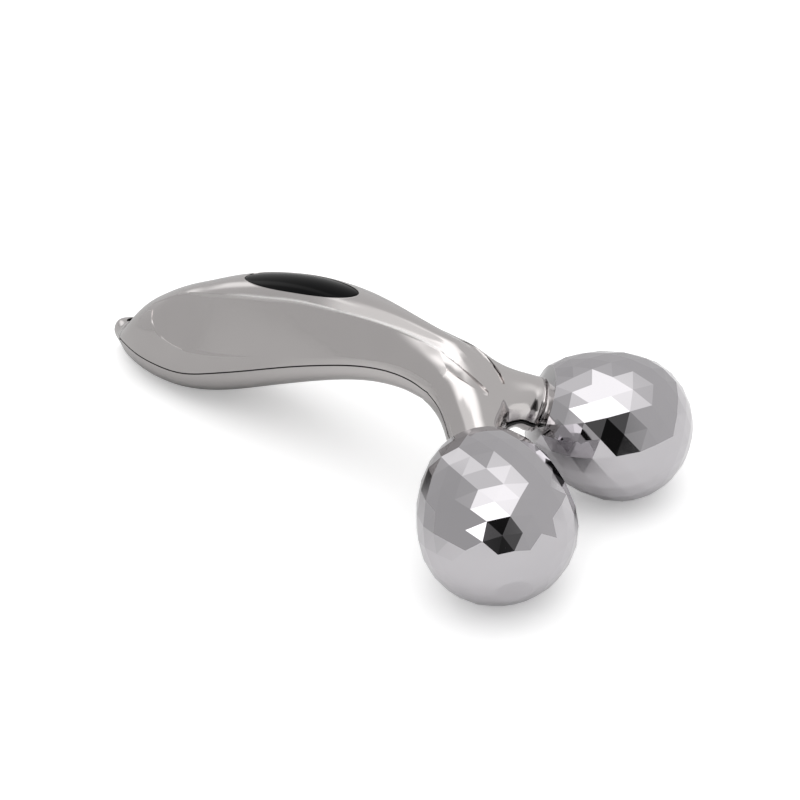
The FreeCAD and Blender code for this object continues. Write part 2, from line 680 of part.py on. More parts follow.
for side in sides:
    turn = size(side + "_turn")
    place = axle_place(side, turn)

    def own(name):
        return side + "_" + name

    # Nose half of the ball, with the socket that holds the sleeve's outer end.
    nose_shell = cut(own("nose_shell"), nose_form, nose_hollow)
    socket_radius = "(%s) + socket_wall" % sleeve_radius
    socket = common(own("socket"), rod(own("socket_rod"), socket_radius, socket_at, "ball_nose"), nose_form)
    relief_end = "ball_nose * %.6f - ball_wall" % facet_depth_share
    relief = rod(own("relief"), bush_radius, socket_at, "(%s) - (%s)" % (relief_end, socket_at))
    bore = rod(own("socket_bore"), sleeve_radius, "(%s) - overrun" % socket_at, "socket_depth + overrun")
    nose = cut_all(own("nose"), fuse(own("nose_solid"), [nose_shell, socket]), [bore, relief])
    node(nose, own("ball_nose_shell"), place)

    # Heel half of the ball, open at the mouth for the collar ring.
    mouth_bore_at = "(%s) - overrun" % mouth_at
    mouth_bore = rod(own("mouth_bore"), "spigot_radius", mouth_bore_at, "spigot_depth + overrun")
    heel_shell = cut(own("heel_shell"), heel_form, heel_hollow)
    node(cut(own("heel"), heel_shell, mouth_bore), own("ball_heel_shell"), place)

    # Collar ring: a bevelled flange on a spigot.
    flange = doc.addObject("Part::Cone", own("flange"))
    flange.setExpression("Radius1", formula("ring_face_radius"))
    flange.setExpression("Radius2", formula("mouth_radius * %.6f - ring_margin" % facet_depth_share))
    flange.setExpression("Height", formula("ring_rise"))
    flange.setExpression("Placement.Base.z", formula(ring_at))
    spigot = rod(own("spigot"), "spigot_radius", mouth_at, "spigot_depth")
    collar_bore = rod(own("collar_bore"), sleeve_radius, "(%s) - overrun" % ring_at, "ball_heel")
    collar = cut(own("collar"), fuse(own("collar_solid"), [flange, spigot]), collar_bore)
    node(collar, own("collar_ring"), place)

    # Sleeve and bushes turn with the ball.
    sleeve_length = "(%s) - (%s)" % (sleeve_end_at, hub_at)
    sleeve = tube(own("sleeve"), sleeve_radius, bush_radius, hub_at, sleeve_length)
    node(sleeve, own("bearing_sleeve"), place)
    inner_bush = tube(own("inner_tube"), bush_radius, bore_radius, hub_at, "bush_length")
    node(inner_bush, own("inner_bush"), place)
    outer_bush = tube(own("outer_tube"), bush_radius, bore_radius, outer_bush_at, "bush_length")
    node(outer_bush, own("outer_bush"), place)

    # Axle, washers and clip stay with the handle.
    shaft = rod(own("shaft"), "axle_radius", grip_at, "(%s) - (%s)" % (tip_at, grip_at))
    groove_radius = "axle_radius - groove_depth"
    groove = tube(own("groove"), "axle_radius + overrun", groove_radius, clip_at, "clip_thickness")
    node(cut(own("axle_solid"), shaft, groove), own("axle"), axle_place(side))
    washer_radius = "axle_radius + washer_width"
    inner_washer_at = arm_at + " + side_gap"
    inner_washer = tube(own("inner_disc"), washer_radius, bore_radius, inner_washer_at, "washer_thickness")
    node(inner_washer, own("inner_washer"), axle_place(side))
    outer_washer = tube(own("outer_disc"), washer_radius, bore_radius, washer_at, "washer_thickness")
    node(outer_washer, own("outer_washer"), axle_place(side))
    clip_radius = groove_radius + " + clip_width"
    clip_ring = tube(own("clip_ring"), clip_radius, groove_radius, clip_at, "clip_thickness")
    clip_cut = "clip_thickness + 2 * overrun"
    clip_mouth_at = "(%s) - overrun" % clip_at
    clip_mouth = block(own("clip_mouth"), "2 * axle_radius", "axle_radius", clip_cut, clip_mouth_at)
    clip_mouth.setExpression("Placement.Base.x", "0")
    node(cut(own("clip"), clip_ring, clip_mouth), own("retaining_clip"), axle_place(side))


# Leads: straight runs with arcs as large as the runs allow.
def lead(points):
    edges = []
    last = points[0]
    for before, corner, after in zip(points, points[1:], points[2:]):
        back, on = (before - corner), (after - corner)
        run = min(back.Length, on.Length) * lead_arc_share
        back.normalize()
        on.normalize()
        middle = back + on
        middle.normalize()
        half_turn = (math.pi - back.getAngle(on)) / 2
        radius = run / math.tan(half_turn)
        bulge = corner + middle * (radius / math.cos(half_turn) - radius)
        edges.append(Part.makeLine(last, corner + back * run))
        edges.append(Part.Arc(corner + back * run, bulge, corner + on * run).toShape())
        last = corner + on * run
    edges.append(Part.makeLine(last, points[-1]))
    path = Part.Wire(edges)
    start = Part.Wire([Part.makeCircle(size("lead_radius"), points[0], points[1] - points[0])])
    return path.makePipeShell([start], True, False)


lead_arc_share = 0.45
window_up = window_frame.Rotation.multVec(skyward) * size("lead_rise")
board_up = board_frame.Rotation.multVec(skyward) * size("lead_rise")
cell_leads = []
for sign in (-1, 1):
    across = sign * size("lead_spread") / 2
    cell_under = -size("window_edge") - size("cell_thickness")
    cell_pad = window_frame.multVec(Vector(across, 0, cell_under))
    pad_side = size("lead_spread") / 2 - size("board_width") / 2
    board_pad = board_frame.multVec(Vector(across, pad_side, 0))
    cell_leads.append(lead([cell_pad, cell_pad - window_up, board_pad + board_up, board_pad]))
node(feature("cell_lead_pair", Part.makeCompound(cell_leads)), "cell_leads")
lead_edge = 2 * size("lead_radius")
stub_side = size("axle_radius") + size("yoke_wall") - lead_edge
stub_pad = apex - forward * size("yoke_stub") + sideways * stub_side
pad_end = size("board_length") / 2 - size("lead_rise")
yoke_pad = board_frame.multVec(Vector(pad_end, size("board_width") / 2 - lead_edge, 0))
stub_back = forward * size("lead_rise")
yoke_lead = lead([yoke_pad, yoke_pad + board_up, stub_pad - stub_back, stub_pad])
node(feature("yoke_lead_run", yoke_lead), "yoke_lead")

doc.recompute()
for piece in doc.Objects:
    if "Invalid" in piece.State or "Error" in piece.State:
        raise RuntimeError("%s failed: %s" % (piece.Name, piece.State))
for piece in nodes:
    if piece.Shape.isNull() or not piece.Shape.isValid():
        raise RuntimeError("%s has no valid shape" % piece.Label)

os.makedirs("parts", exist_ok=True)
for piece in nodes:
    piece.Shape.exportStep("parts/" + piece.Label + ".step")
    print(piece.Label, len(piece.Shape.Solids), round(piece.Shape.Volume, 1))
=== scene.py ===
import math
import bmesh
import bpy
import numpy as np
from mathutils import Matrix, Vector
from mathutils.bvhtree import BVHTree
from mathutils.kdtree import KDTree


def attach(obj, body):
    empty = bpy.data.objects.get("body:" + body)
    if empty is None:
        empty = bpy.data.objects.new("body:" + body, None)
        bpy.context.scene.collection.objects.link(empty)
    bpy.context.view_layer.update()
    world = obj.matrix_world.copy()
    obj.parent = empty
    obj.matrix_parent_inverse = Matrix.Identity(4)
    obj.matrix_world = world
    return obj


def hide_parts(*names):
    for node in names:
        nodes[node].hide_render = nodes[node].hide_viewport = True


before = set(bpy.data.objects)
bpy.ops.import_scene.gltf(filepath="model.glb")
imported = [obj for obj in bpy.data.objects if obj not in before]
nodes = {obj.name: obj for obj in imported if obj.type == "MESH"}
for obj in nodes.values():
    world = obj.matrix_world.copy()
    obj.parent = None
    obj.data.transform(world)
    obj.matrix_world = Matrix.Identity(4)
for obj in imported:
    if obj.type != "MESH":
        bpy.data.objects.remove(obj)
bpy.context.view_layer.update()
scene = bpy.context.scene
mm = 0.001


# Helpers

def linear(hexColour):
    channels = [int(hexColour[k:k + 2], 16) / 255 for k in (1, 3, 5)]
    return [c / 12.92 if c <= 0.04045 else ((c + 0.055) / 1.055) ** 2.4 for c in channels] + [1.0]


def addNode(tree, kind, settings=None, links=None):
    # A setting is an input, by name or number, or else a property of the node.
    made = tree.nodes.new(kind)
    for key, value in (settings or {}).items():
        if isinstance(key, int) or key in made.inputs:
            made.inputs[key].default_value = value
        else:
            setattr(made, key, value)
    for key, source in (links or {}).items():
        tree.links.new(source, made.inputs[key])
    return made


def newObject(name, verts, faces):
    mesh = bpy.data.meshes.new(name)
    mesh.from_pydata([tuple(v) for v in verts], [], [tuple(f) for f in faces])
    made = bpy.data.objects.new(name, mesh)
    scene.collection.objects.link(made)
    return made


def asObject(work, name):
    mesh = bpy.data.meshes.new(name)
    work.to_mesh(mesh)
    work.free()
    mesh.materials.clear()
    made = bpy.data.objects.new(name, mesh)
    scene.collection.objects.link(made)
    return made


def mend(mesh, fillHoles=False):
    work = bmesh.new()
    work.from_mesh(mesh)
    if fillHoles:
        bmesh.ops.holes_fill(work, edges=[e for e in work.edges if e.is_boundary], sides=0)
    bmesh.ops.recalc_face_normals(work, faces=work.faces)
    work.to_mesh(mesh)
    work.free()


def evaluatedMesh(piece):
    bpy.context.view_layer.update()
    graph = bpy.context.evaluated_depsgraph_get()
    return bpy.data.meshes.new_from_object(piece.evaluated_get(graph), depsgraph=graph)


def bake(piece):
    made = evaluatedMesh(piece)
    piece.modifiers.clear()
    piece.data = made


def cutWith(piece, cutter):
    change = piece.modifiers.new("cut", "BOOLEAN")
    change.operation = "DIFFERENCE"
    change.solver = "MANIFOLD"
    change.object = cutter
    bake(piece)
    bpy.data.objects.remove(cutter)


def finishShape(piece, angle):
    piece.data.shade_smooth()
    piece.data.set_sharp_from_angle(angle=math.radians(angle))


splines = {}


def smoothTable(rows, x):
    # Natural cubic spline, so that the mirror skin shows no kinks in its reflections.
    if id(rows) not in splines:
        table = np.array(rows, float)
        at, values = table[:, 0], table[:, 1:]
        count, gap = len(at), np.diff(at)
        system, target = np.eye(count), np.zeros_like(values)
        for k in range(1, count - 1):
            system[k, k - 1:k + 2] = gap[k - 1], 2 * (gap[k - 1] + gap[k]), gap[k]
            target[k] = 6 * ((values[k + 1] - values[k]) / gap[k] - (values[k] - values[k - 1]) / gap[k - 1])
        splines[id(rows)] = at, values, gap, np.linalg.solve(system, target)
    at, values, gap, bend = splines[id(rows)]
    x = min(max(x, at[0]), at[-1])
    k = int(np.clip(np.searchsorted(at, x) - 1, 0, len(gap) - 1))
    a, b = (at[k + 1] - x) / gap[k], (x - at[k]) / gap[k]
    curve = ((a ** 3 - a) * bend[k] + (b ** 3 - b) * bend[k + 1]) * gap[k] ** 2 / 6
    return a * values[k] + b * values[k + 1] + curve


def smoothStep(low, high, x):
    u = min(max((x - low) / (high - low), 0.0), 1.0)
    return u * u * (3 - 2 * u)


# Handle skins, in millimetres from the point midway between the balls
handle = {
    "ballX": 93.93,
    "droop": 26.5,
    "spread": 37.7,
    "apex": (-40.53, 44.96),
    "wall": 1.5,
    # how far the skins draw back from the parting and from the nub's joint, and how deep the black sheet of
    # painted seam shade lies
    "seam": 0.29,
    "nubSeam": 0.06,
    "seamShadeDepth": 0.5,
    # edges that bend by more than this stay sharp
    "sharpAngle": 60,
    # rounds and gain of the fit of the cage to its rings, and how often the fitted cage is divided
    "fitRounds": 6,
    "fitGain": 0.9,
    "levels": 3,
    # the search for a ring's reach in its leaning plane: first guess and rounds
    "firstReach": 10.0,
    "reachRounds": 40,
    # the ring where the nub is parted off
    "nubEnd": -199.4,
    # x, half width, parting height
    "widths": [
        (-212, 1.6, 7.2), (-210, 3.6, 8.0), (-206, 5.8, 9.4), (-202, 8.4, 11.0), (-198, 11.0, 12.4),
        (-193, 13.4, 13.3), (-184, 16.3, 13.6), (-172, 17.8, 13.7), (-158, 18.2, 15.2), (-142, 18.0, 20.7),
        (-124, 17.4, 28.1), (-106, 16.3, 35.6), (-88, 14.8, 42.2), (-72, 13.3, 46.8), (-60, 12.4, 48.4),
        (-50, 12.5, 47.9), (-44, 13.1, 46.7),
    ],
    # x, height of the belly
    "belly": [
        (-212, 5.6), (-210, 3.6), (-206, 2.2), (-202, 1.0), (-198, 0.4), (-193, 0.1), (-184, 0.03),
        (-172, 0.2), (-158, 2.6), (-142, 7.8), (-124, 15.9), (-106, 24.1), (-88, 31.6), (-72, 36.5),
        (-60, 38.0), (-54, 37.9), (-45.2, 35.6), (-37.6, 32.8),
    ],
    # x, height of the top
    "top": [
        (-212, 9.4), (-210, 12.0), (-206, 13.4), (-202, 14.6), (-198, 17.8), (-193, 23.6), (-184, 31.0),
        (-172, 38.3), (-158, 45.3), (-142, 52.7), (-124, 58.9), (-106, 62.7), (-88, 63.9), (-72, 63.4),
        (-60, 62.3), (-52, 61.3), (-43.2, 59.5), (-35.4, 55.2), (-30.4, 51.8), (-27.2, 49.3),
    ],
    # x, half width and height of the crease beside the spine
    "crease": [
        (-200, 3.7, 15.5), (-190, 5.4, 26.0), (-182, 6.1, 31.2), (-176, 5.8, 34.6), (-170, 5.3, 38.0),
        (-163, 5.3, 41.2), (-156, 6.2, 44.0), (-148, 7.6, 47.0), (-138, 9.0, 50.6), (-128, 9.8, 53.9),
        (-118, 10.1, 56.5), (-108, 9.8, 58.9), (-98, 9.2, 60.4), (-88, 8.5, 61.15), (-79, 7.4, 61.4),
        (-70, 6.1, 61.2), (-62, 5.1, 60.6), (-55, 4.6, 59.8), (-48, 4.3, 58.8), (-40, 4.5, 56.8),
        (-34, 5.0, 54.2),
    ],
    # x, height of the lower edge of the side panel
    "lip": [
        (-200, 15.5), (-194, 18.5), (-188, 24.0), (-183.5, 28.6), (-180.5, 31.2), (-178, 30.0), (-174, 27.5),
        (-168, 25.7), (-162, 25.3), (-156, 25.5), (-148, 26.8), (-138, 29.3), (-128, 32.3), (-118, 35.4),
        (-108, 38.7), (-98, 42.0), (-88, 45.0), (-79, 47.6), (-70, 49.8), (-62, 51.3), (-50, 51.6),
        (-40, 50.4), (-34, 49.0),
    ],
    # ring centre x, lean of the ring, bulge of the panel, step down at the crease, step down at the lip
    "rings": [
        (-211.5, 0, 0, 0, 0), (-210, 0, 0, 0, 0), (-206.5, 0, 0, 0, 0), (-203, 0, 0, 0, 0),
        (-199.4, 0, 0, 0, 0), (-196, 0, 0, 0, 0), (-192, 0, 0, 0, 0), (-187, 0, 0, 0, 0), (-183, 0, 0, 0, 0),
        (-180, 0, 0, 0.1, 0.25), (-177, 0, 0.1, 0.15, 0.4), (-173, 0, 0.2, 0.15, 0.4),
        (-168, 0, 0.3, 0.15, 0.4), (-161, 0, 0.3, 0.15, 0.35), (-152, 0, 0.3, 0.15, 0.3),
        (-142, 0, 0.3, 0.15, 0.2), (-130, 0, 0.3, 0.15, 0.1), (-118, 0, 0.3, 0.15, 0.05),
        (-106, 0, 0.3, 0.15, 0), (-94, 0, 0.4, 0.15, 0), (-82, 1, 0.4, 0.15, 0), (-72, 4, 0.5, 0.15, 0),
        (-63.5, 9, 0.6, 0.15, 0), (-56.5, 15, 0.7, 0.15, 0), (-50.5, 21, 0.9, 0.1, 0),
        (-44.6, 26.5, 1.0, 0, 0),
    ],
    # the crease and the panel's flat face come in between these two places
    "creaseFrom": (-168, -154),
    "flatFrom": (-181, -166),
    # drawn sections give way to the cage towards the nub and towards the fork
    "drawnFrom": (-198, -188),
    "drawnTo": (-60, -46),
    # where the crease has its full step it stands proud by the bead
    "fullStep": 0.15,
    "bead": 0.05,
    # width of the edges at the crease and the lip
    "edge": 0.35,
    # on the nub the crease row lies at this share of the half width and the lip row at this angle,
    # and elsewhere the lip stays this angle below the crease
    "nubCreaseShare": 0.375,
    "nubLipAngle": 16.0,
    "lipBelowCrease": 12.0,
    # the crown is one curve from top to crease, its control point at this share of the crease's half width
    "crownShare": 0.505,
    # midway down the belly is this share fuller than an oval
    "bellyFullShare": 0.025,
    # from where to where the crease carries a painted highlight, over what length this comes in, how far
    # beside the edge, and how finely the crease is followed for it
    "creaseHighlight": (-142.0, -45.0, 16.0),
    "creaseHighlightReach": 0.65,
    "creaseHighlightStep": 0.2,
    # the last row above the parting is at least this high, so that the gap can be taken out of it
    "partingRoom": 0.6,
    # angles of the points round an arm, measured upward from its outer side
    "armAngles": (126, 105, 84, 63, 42, 21, 10, 0, -40, -80, -120, -150, 180, 153),
    # where the arms part: distance along the arm, and the radii from the top over the outer side to the belly
    "splitAt": 11.5,
    "splitRadii": (9.5, 9.5, 9.6, 9.8, 10.0, 10.1, 10.1, 9.9, 9.6),
    # the crotch between the arms, forward and up from the apex
    "crotch": [(14.6, 8.4), (18.2, 5.4), (20.6, 0.0), (20.8, -5.4), (17.0, -8.4)],
    # distance along the arm, radius
    "armRings": [(21.0, 9.2), (23.8, 9.2), (25.6, 9.2), (26.0, 9.05), (26.1, 8.7), (26.1, 6.0), (26.1, 3.4)],
}

# rows of points from the top down, and sorts of face
creaseRow, lipRow, partingRow, bellyRow = 2, 5, 7, 10
upperSort, lowerSort, nubSort = range(3)


def ringPlaneHit(rows, x, height, lean, column, sign):
    reach = handle["firstReach"]
    for step in range(handle["reachRounds"]):
        aim = smoothTable(rows, x + sign * reach * math.sin(lean))[column]
        reach = 0.5 * reach + 0.5 * sign * (aim - height) / math.cos(lean)
    return reach


def onOval(section, angle):
    turn = math.radians(angle)
    return Vector((section["half"] * math.cos(turn), section["high"] * math.sin(turn)))


def handleSection(x):
    columns = list(zip(*handle["rings"]))
    lean, bulge, creaseStep, lipStep = (float(np.interp(x, columns[0], column)) for column in columns[1:])
    lean = math.radians(lean)
    half, height = smoothTable(handle["widths"], x)
    made = {"x": x, "half": half, "height": height, "lean": lean, "bulge": bulge}
    made.update({"creaseStep": creaseStep, "lipStep": lipStep})
    made["high"] = ringPlaneHit(handle["top"], x, height, lean, 0, 1)
    made["low"] = ringPlaneHit(handle["belly"], x, height, lean, 0, -1)
    creaseHigh = ringPlaneHit(handle["crease"], x, height, lean, 1, 1)
    creaseHalf = smoothTable(handle["crease"], x + creaseHigh * math.sin(lean))[0]
    if x < handle["drawnFrom"][0]:
        creaseHalf = handle["nubCreaseShare"] * half
    plainHigh = made["high"] * math.sqrt(max(1 - (creaseHalf / half) ** 2, 0.0))
    share = smoothStep(*handle["creaseFrom"], x)
    made["crease"] = Vector((creaseHalf, plainHigh + (creaseHigh - plainHigh) * share))
    made["creaseAngle"] = math.degrees(math.acos(min(creaseHalf / half, 1.0)))
    lipHigh = ringPlaneHit(handle["lip"], x, height, lean, 0, 1)
    lipAngle = math.degrees(math.asin(min(lipHigh / made["high"], 1.0)))
    made["lipAngle"] = min(lipAngle, made["creaseAngle"] - handle["lipBelowCrease"])
    if x < handle["drawnFrom"][0]:
        made["lipAngle"] = handle["nubLipAngle"]
    made["lip"] = onOval(made, made["lipAngle"])
    made["flat"] = smoothStep(*handle["flatFrom"], x)
    return made


def sectionPoint(section, row, edged):
    # With edged, the rows beside the crease and the lip lie close to them.
    crease, lip, edge = section["crease"], section["lip"], handle["edge"] if edged else 0.0
    dense = 2 ** handle["levels"]

    def squeeze(share, count, length, first, last):
        step = 1 / count
        if not edge or length < 2 * edge * count:
            return share
        low, high = (edge / length if first else 0.0), (1 - edge / length if last else 1.0)
        start, end = (step if first else 0.0), (1 - step if last else 1.0)
        if first and share < start:
            return share / step * low
        if last and share > end:
            return high + (share - end) / step * (1 - high)
        return low + (share - start) / (end - start) * (high - low)

    if row <= creaseRow:
        control = Vector((handle["crownShare"] * crease.x, section["high"]))
        t = squeeze(row / creaseRow, creaseRow * dense, 2 * (crease - control).length, False, True)
        spot = control * (2 * t * (1 - t)) + crease * (t * t) + Vector((0, section["high"])) * ((1 - t) ** 2)
        if edged and row == creaseRow:
            proud = handle["bead"] * section["creaseStep"] / handle["fullStep"]
            spot = spot + Vector((1, 1)).normalized() * proud
        return spot
    if row < lipRow:
        run, rows = lip - crease, lipRow - creaseRow
        t = squeeze((row - creaseRow) / rows, rows * dense, run.length, True, True)
        outward = Vector((-run.y, run.x)).normalized()
        flat = crease + run * t + outward * (section["bulge"] * 4 * t * (1 - t))
        plain = onOval(section, section["creaseAngle"] + (section["lipAngle"] - section["creaseAngle"]) * t)
        spot = plain + (flat - plain) * section["flat"]
        if edged:
            spot = spot - outward * (section["creaseStep"] * (1 - t) + section["lipStep"] * t)
        return spot
    if row <= partingRow:
        length, rows = math.radians(section["lipAngle"]) * section["high"], partingRow - lipRow
        share, count = (row - lipRow) / rows, rows * dense
        t = squeeze(share, count, length, section["lipStep"] > 0, False)
        room = handle["partingRoom"] / length
        if edged and room > 1 / count:
            inside = share < (count - 1) / count
            t = share * count / (count - 1) * (1 - room) if inside else 1 - (1 - share) * count * room
        return onOval(section, section["lipAngle"] * (1 - t))
    turn = math.radians(90 * (row - partingRow) / (bellyRow - partingRow))
    full = 1 + handle["bellyFullShare"] * math.sin(2 * turn) ** 2
    return Vector((section["half"] * math.cos(turn), -section["low"] * math.sin(turn))) * full


def placeOn(section, flat, sign):
    up = Vector((math.sin(section["lean"]), 0, math.cos(section["lean"])))
    return Vector((section["x"], sign * flat.x, section["height"])) + up * flat.y


def handleRing(x):
    section = handleSection(x)
    left = [placeOn(section, sectionPoint(section, row, False), 1) for row in range(bellyRow + 1)]
    right = [Vector((p.x, -p.y, p.z)) for p in left[bellyRow - 1:0:-1]]
    return left + right


def buildCage():
    # Marks carry the row of each point and the place of its ring. Only the handle's own rings use them.
    around, angles = 2 * bellyRow, handle["armAngles"]
    armLower = range(angles.index(0), angles.index(180))
    droop, spread = math.radians(handle["droop"]), math.radians(handle["spread"])
    forward = Vector((math.cos(droop), 0, -math.sin(droop)))
    upward = Vector((math.sin(droop), 0, math.cos(droop)))
    apex = Vector((handle["apex"][0], 0, handle["apex"][1]))
    verts, faces, sorts, marks = [], [], [], []

    def put(point, mark=(0, 0)):
        verts.append(point)
        marks.append(mark)
        return len(verts) - 1

    def quad(a, b, sort):
        faces.append((a[0], a[1], b[1], b[0]))
        sorts.append(sort)

    rings = []
    for row in handle["rings"]:
        rings.append([put(p, (min(i, around - i), row[0])) for i, p in enumerate(handleRing(row[0]))])
    nubRing = [row[0] for row in handle["rings"]].index(handle["nubEnd"])
    for k in range(len(rings) - 1):
        near, far = rings[k], rings[k + 1]
        for i in range(around):
            j = (i + 1) % around
            sort = lowerSort if partingRow <= i < around - partingRow else upperSort
            quad((near[i], near[j]), (far[i], far[j]), nubSort if k < nubRing else sort)
    faces.append(tuple(rings[0]))
    sorts.append(nubSort)

    crotch = [put(apex + forward * p + upward * h) for p, h in handle["crotch"]]
    neck = rings[-1]
    for sign in (1, -1):
        axis = forward * math.cos(spread) + Vector((0, sign * math.sin(spread), 0))
        outward = Vector((0, sign * math.cos(spread), 0)) - forward * math.sin(spread)

        def onArm(s, radius, angle):
            turn = math.radians(angle)
            return apex + axis * s + (outward * math.cos(turn) + upward * math.sin(turn)) * radius

        split = []
        for radius, angle in zip(handle["splitRadii"], angles[1:]):
            split.append(put(onArm(handle["splitAt"], radius, angle)))
        last = [crotch[0]] + split + crotch[:0:-1]
        outer = [neck[k if sign > 0 else -k] for k in range(bellyRow + 1)]
        for i in range(bellyRow):
            sort = upperSort if i < partingRow else lowerSort
            quad((outer[i], outer[i + 1]), (last[i], last[i + 1]), sort)
        for s, radius in handle["armRings"]:
            ring = [put(onArm(s, radius, a)) for a in angles]
            for i in range(len(angles)):
                j = (i + 1) % len(angles)
                quad((last[i], last[j]), (ring[i], ring[j]), lowerSort if i in armLower else upperSort)
            last = ring
    return verts, faces, sorts, marks


def handleSurface():
    verts, faces, sorts, marks = buildCage()
    shift = Vector((handle["ballX"], 0, 0))
    cage = newObject("handle_cage", [(v + shift) * mm for v in verts], faces)
    for face, sort in zip(cage.data.polygons, sorts):
        face.material_index = sort
    for name, column in zip(("row", "ring"), zip(*marks)):
        mark = cage.data.attributes.new(name, "FLOAT", "POINT")
        mark.data.foreach_set("value", np.array(column, np.float32))
    for name in ("upper", "lower", "nub"):
        cage.data.materials.append(bpy.data.materials.new("sort_" + name))
    change = cage.modifiers.new("round", "SUBSURF")
    goal = np.array([v.co for v in cage.data.vertices])
    change.levels = change.render_levels = 1
    for step in range(handle["fitRounds"]):
        shown = evaluatedMesh(cage)
        reached = np.array([v.co for v in shown.vertices])[:len(goal)]
        bpy.data.meshes.remove(shown)
        placed = np.array([v.co for v in cage.data.vertices]) + handle["fitGain"] * (goal - reached)
        cage.data.vertices.foreach_set("co", placed.astype(np.float32).ravel())
        cage.data.update()
        print("handle fit", step, "mean miss mm", round(float(np.abs(goal - reached).mean() / mm), 4))
    change.levels = change.render_levels = handle["levels"]
    bake(cage)
    drawSections(cage.data)
    return cage


def drawSections(mesh):
    row, ring = (np.array([k.value for k in mesh.attributes[name].data], float) for name in ("row", "ring"))
    sections = {}
    for vert in mesh.vertices:
        x = round(ring[vert.index], 3)
        share = smoothStep(*handle["drawnFrom"], x) * (1 - smoothStep(*handle["drawnTo"], x))
        if share > 0:
            if x not in sections:
                sections[x] = handleSection(x)
            flat = sectionPoint(sections[x], round(row[vert.index], 3), True)
            drawn = placeOn(sections[x], flat, 1 if vert.co.y > 0 else -1)
            vert.co = vert.co.lerp((drawn + Vector((handle["ballX"], 0, 0))) * mm, share)
    mesh.update()


def takeSkin(surface, name, sort, seam):
    work = bmesh.new()
    work.from_mesh(surface.data)
    bmesh.ops.recalc_face_normals(work, faces=work.faces)
    if work.calc_volume(signed=True) < 0:
        bmesh.ops.reverse_faces(work, faces=work.faces)
    bmesh.ops.delete(work, geom=[f for f in work.faces if f.material_index != sort], context="FACES")
    moves = []
    for vert in work.verts:
        inner = [e.other_vert(vert) for e in vert.link_edges if not e.is_boundary]
        if vert.is_boundary and inner:
            toward = sum((v.co - vert.co for v in inner), Vector()) / len(inner)
            moves.append((vert, toward.normalized() * seam * mm))
    for vert, move in moves:
        vert.co += move
    return asObject(work, name)


def thicken(piece, thickness):
    change = piece.modifiers.new("wall", "SOLIDIFY")
    change.thickness = thickness * mm
    change.offset = -1.0
    bake(piece)


def prism(name, outline, place, low, high):
    count = len(outline)
    verts = [place @ Vector((x, y, z)) for z in (low, high) for x, y in outline]
    faces = [tuple(range(count))[::-1], tuple(range(count, 2 * count))]
    faces += [(k, (k + 1) % count, count + (k + 1) % count, count + k) for k in range(count)]
    return newObject(name, verts, faces)


def oval(length, width, count):
    turns = [2 * math.pi * k / count for k in range(count)]
    return [(length / 2 * math.cos(turn), width / 2 * math.sin(turn)) for turn in turns]


def skinTreeOf(piece):
    mesh = piece.data
    return BVHTree.FromPolygons([v.co for v in mesh.vertices], [p.vertices for p in mesh.polygons])


# The sheet just inside the parting, offset inward, which carries the painted seam shade.
def takeSeamShade(surface, name, depth):
    work = bmesh.new()
    work.from_mesh(surface.data)
    parting = {v for v in work.verts if {upperSort, lowerSort} <= {f.material_index for f in v.link_faces}}
    away = [f for f in work.faces if not any(v in parting for v in f.verts)]
    bmesh.ops.delete(work, geom=away, context="FACES")
    bmesh.ops.recalc_face_normals(work, faces=work.faces)
    for vert in work.verts:
        pointsOut = vert.normal.dot(vert.co - Vector((vert.co.x, 0, vert.co.z))) > 0
        vert.co += (-vert.normal if pointsOut else vert.normal) * depth * mm
    return asObject(work, name)


surface = handleSurface()
upperSkin = takeSkin(surface, "upper_skin", upperSort, handle["seam"])
lowerSkin = takeSkin(surface, "lower_skin", lowerSort, handle["seam"])
nubSkin = takeSkin(surface, "nub_skin", nubSort, handle["nubSeam"])
partingShadeSheet = takeSeamShade(surface, "parting_seam_shade", handle["seamShadeDepth"])
finishShape(partingShadeSheet, handle["sharpAngle"])
bpy.data.objects.remove(surface)
print("handle skins", len(upperSkin.data.polygons), len(lowerSkin.data.polygons), len(nubSkin.data.polygons))

# Window, fitted to the spine of the upper skin, in millimetres from the origin
window = {
    "centre": -16.6,
    "length": 53.0,
    "width": 14.4,
    # width of the rim, its rise over the skin and its drop towards the lens
    "rim": 0.45,
    "rimRise": 0.03,
    "rimDrop": 0.25,
    # how deep the rim's inner and outer wall go, its overlap, and from where to which share its top is flat
    "rimFoot": 1.2,
    "rimFlank": 0.8,
    "rimOverlap": 0.02,
    "rimTopFrom": 0.12,
    "rimTopShare": 0.6,
    # the lens: how high it domes, and how deep its edge lies
    "dome": 0.35,
    "edgeDrop": 0.30,
    # the lens stands in from the rim, and its edge is rounded over the second inset
    "lensInset": 0.12,
    "roundInset": 0.3,
    "roundRise": 0.12,
    "lensRingShares": (0.95, 0.9, 0.84, 0.76, 0.66, 0.54, 0.4, 0.25, 0.1),
    "thickness": 1.4,
    # edges that bend by more than this stay sharp
    "lensSharp": 50,
    "rimSharp": 60,
    # room round the window in the skin, and how far the cut goes to each side
    "cutRoom": 0.5,
    "cutReach": 12.0,
    # from how high the spine is looked for, above the floor and above the window
    "highAbove": 1000.0,
    "above": 50.0,
    "points": 96,
}


def windowPlace(tree):
    ends = []
    for sign in (-1, 1):
        x = (window["centre"] + sign * window["length"] / 2) * mm
        ends.append(tree.ray_cast(Vector((x, 0, window["highAbove"] * mm)), Vector((0, 0, -1)))[0])
    along = (ends[1] - ends[0]).normalized()
    across = Vector((0, 1, 0))
    up = along.cross(across)
    middle = (ends[0] + ends[1]) / 2
    return Matrix((along, across, up)).transposed().to_4x4(), middle


skinTree = skinTreeOf(upperSkin)
turned, middle = windowPlace(skinTree)
windowFrame = Matrix.Translation(middle) @ turned


def onSpine(x, y, rise):
    start = windowFrame @ Vector((x * mm, y * mm, window["above"] * mm))
    down = -(turned @ Vector((0, 0, 1)))
    hit = skinTree.ray_cast(start, down)[0]
    return hit - down * (rise * mm)


